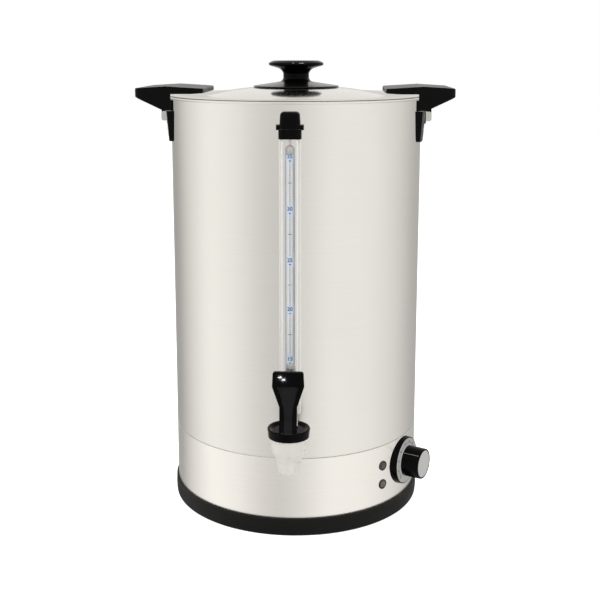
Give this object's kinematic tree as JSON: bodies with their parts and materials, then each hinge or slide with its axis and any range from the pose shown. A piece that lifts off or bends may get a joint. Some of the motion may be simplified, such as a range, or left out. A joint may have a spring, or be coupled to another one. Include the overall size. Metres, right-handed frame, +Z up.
{
  "type": "hot water urn",
  "caption": "Tall round stainless urn that heats and serves hot water, with a clamped lid, a lever tap, a sight gauge and a thermostat knob.",
  "frame": {"origin": "centre of the base ring's underside, on the tank's axis and on the ground", "axes": "+Z up along the tank's axis, -Y towards the tap at the front, +X towards the right-hand handle"},
  "size_m": [0.404, 0.4183, 0.5841],
  "materials": {
    "stainless_satin": "satin brushed stainless",
    "stainless_bright": "polished stainless lid",
    "base_black": "matt moulded black",
    "handle_black": "satin moulded phenolic",
    "knob_black": "glossy moulded phenolic",
    "shield_black": "glossy black",
    "tap_black": "glossy moulded black",
    "tap_white": "milky white moulded",
    "clear_guard": "clear polycarbonate",
    "clear_tube": "clear sight tube",
    "scale_film": "printed film",
    "silicone": "translucent silicone",
    "plated_steel": "bright plated",
    "dial_silver": "satin anodised",
    "lens_red": "translucent dark red",
    "lens_amber": "translucent amber",
    "element_steel": "dull stainless tube",
    "plate_steel": "zinc plated sheet",
    "control_grey": "moulded control housing",
    "nylon_black": "moulded nylon",
    "copper": "drawn copper"
  },
  "bodies": {
    "urn": {"tank_shell": "stainless_satin", "tank_floor": "stainless_satin", "base_skirt": "stainless_satin", "base_ring": "base_black", "base_plate": "plate_steel", "base_screws": "plated_steel", "heating_element": "element_steel", "element_gaskets": "silicone", "element_nuts": "plated_steel", "boil_dry_cutout": "control_grey", "terminal_block": "control_grey", "thermostat_body": "control_grey", "thermostat_bulb": "copper", "thermostat_screws": "plated_steel", "dial_bezel": "tap_black", "dial_plate": "dial_silver", "lamp_lens_heating": "lens_red", "lamp_lens_warm": "lens_amber", "lamp_holders": "nylon_black", "cord_gland": "nylon_black", "gland_nut": "nylon_black", "tap_body": "tap_white", "tap_shank": "tap_white", "tap_washers": "silicone", "tap_shank_nut": "plated_steel", "tap_bonnet": "tap_black", "gauge_socket": "tap_black", "gauge_tube": "clear_tube", "gauge_seals": "silicone", "gauge_scale": "scale_film", "gauge_guard": "clear_guard", "gauge_top_cap": "tap_black", "gauge_cap_screw": "plated_steel", "saddle_screws": "plated_steel", "saddle_nuts": "plated_steel", "clamp_saddle_right": "handle_black", "clamp_saddle_left": "handle_black", "hinge_bracket_right": "plated_steel", "hinge_bracket_left": "plated_steel", "hinge_pin_right": "plated_steel", "hinge_pin_left": "plated_steel"},
    "lid": {"lid_shell": "stainless_bright", "steam_shield": "shield_black", "lid_knob": "knob_black", "lid_knob_screw": "plated_steel", "lid_knob_washer": "plated_steel"},
    "clamp_right": {"clamp_handle_right": "handle_black"},
    "clamp_left": {"clamp_handle_left": "handle_black"},
    "lever": {"tap_lever": "tap_black", "lever_pin": "plated_steel"},
    "valve_stem": {"tap_stem": "plated_steel", "seat_cup": "silicone", "tap_spring": "plated_steel"},
    "thermostat_knob": {"control_knob": "tap_black", "knob_cap": "dial_silver", "thermostat_shaft": "plated_steel"}
  },
  "joints": [
    {"name": "lid_turn", "type": "hinge", "parent": "urn", "child": "lid", "pos_m": [0, 0, 0.539], "axis": [0, 0, 1], "continuous": true},
    {"name": "clamp_right_swing", "type": "hinge", "parent": "urn", "child": "clamp_right", "pos_m": [0.1733, 0, 0.5126], "axis": [0, 1, 0], "range_deg": [0, 95]},
    {"name": "clamp_left_swing", "type": "hinge", "parent": "urn", "child": "clamp_left", "pos_m": [-0.1733, 0, 0.5126], "axis": [0, -1, 0], "range_deg": [0, 95]},
    {"name": "lever_pull", "type": "hinge", "parent": "urn", "child": "lever", "pos_m": [0, -0.231, 0.1606], "axis": [1, 0, 0], "range_deg": [0, 18], "stiffness_Nm_per_rad": 0.35, "springref_deg": -14.32},
    {"name": "stem_lift", "type": "slide", "parent": "urn", "child": "valve_stem", "axis": [0, 0, 1], "range_m": [0, 0.0066], "deforming": ["tap_spring"]},
    {"name": "thermostat_turn", "type": "hinge", "parent": "urn", "child": "thermostat_knob", "pos_m": [0.14869, -0.08242, 0.0692], "axis": [-0.8746, 0.4848, 0], "range_deg": [0, 270]}
  ],
  "couplings": [
    {"joint": "stem_lift", "follows": "lever_pull", "m_per_rad": 0.02066}
  ]
}
